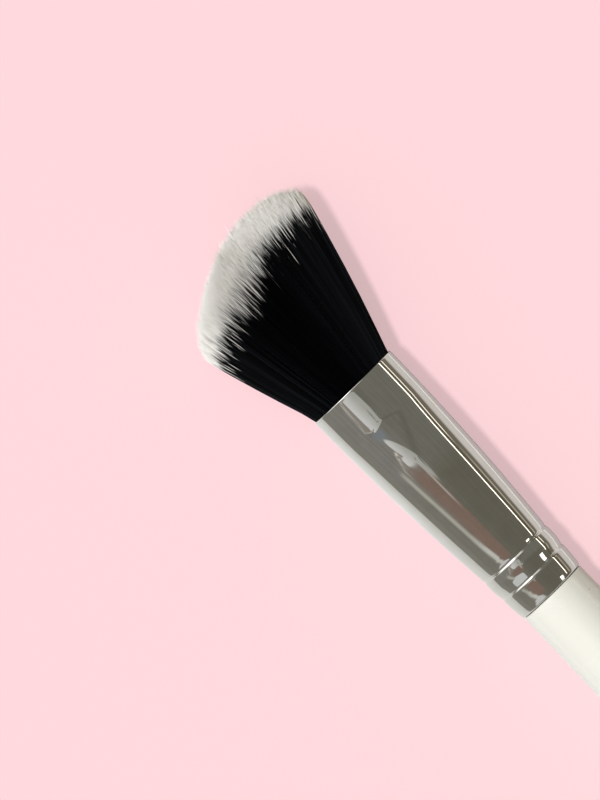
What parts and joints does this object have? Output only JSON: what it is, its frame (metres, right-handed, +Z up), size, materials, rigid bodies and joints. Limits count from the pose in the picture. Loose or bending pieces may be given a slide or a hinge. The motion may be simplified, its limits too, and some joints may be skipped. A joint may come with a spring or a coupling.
{
  "type": "angled face brush",
  "caption": "Face brush with an angled, domed tuft of two-tone fibres, a crimped oval metal ferrule and a turned, lacquered handle, lying on its side.",
  "frame": {"origin": "middle of the brush's box, on the surface that it lies on", "axes": "+X along the brush from the tuft to the handle's butt, tipped down 1.12 degrees, as it lies on its tuft, its ferrule's barrel and the swell of its handle; +Y towards the tuft's long side; +Z up"},
  "size_m": [0.1752, 0.0292, 0.0177],
  "materials": {
    "fibre": "black synthetic fibre with white tips",
    "ferrule_metal": "bright chrome plate",
    "lacquered_wood": "glossy off-white lacquer",
    "epoxy": "cured amber epoxy",
    "thread": "undyed cotton thread",
    "wood_glue": "dried glue"
  },
  "bodies": {
    "root": {"bristle_tuft": "fibre", "ferrule": "ferrule_metal", "handle": "lacquered_wood", "root_plug": "epoxy", "binding_thread": "thread", "tenon_glue": "wood_glue"}
  },
  "joints": []
}
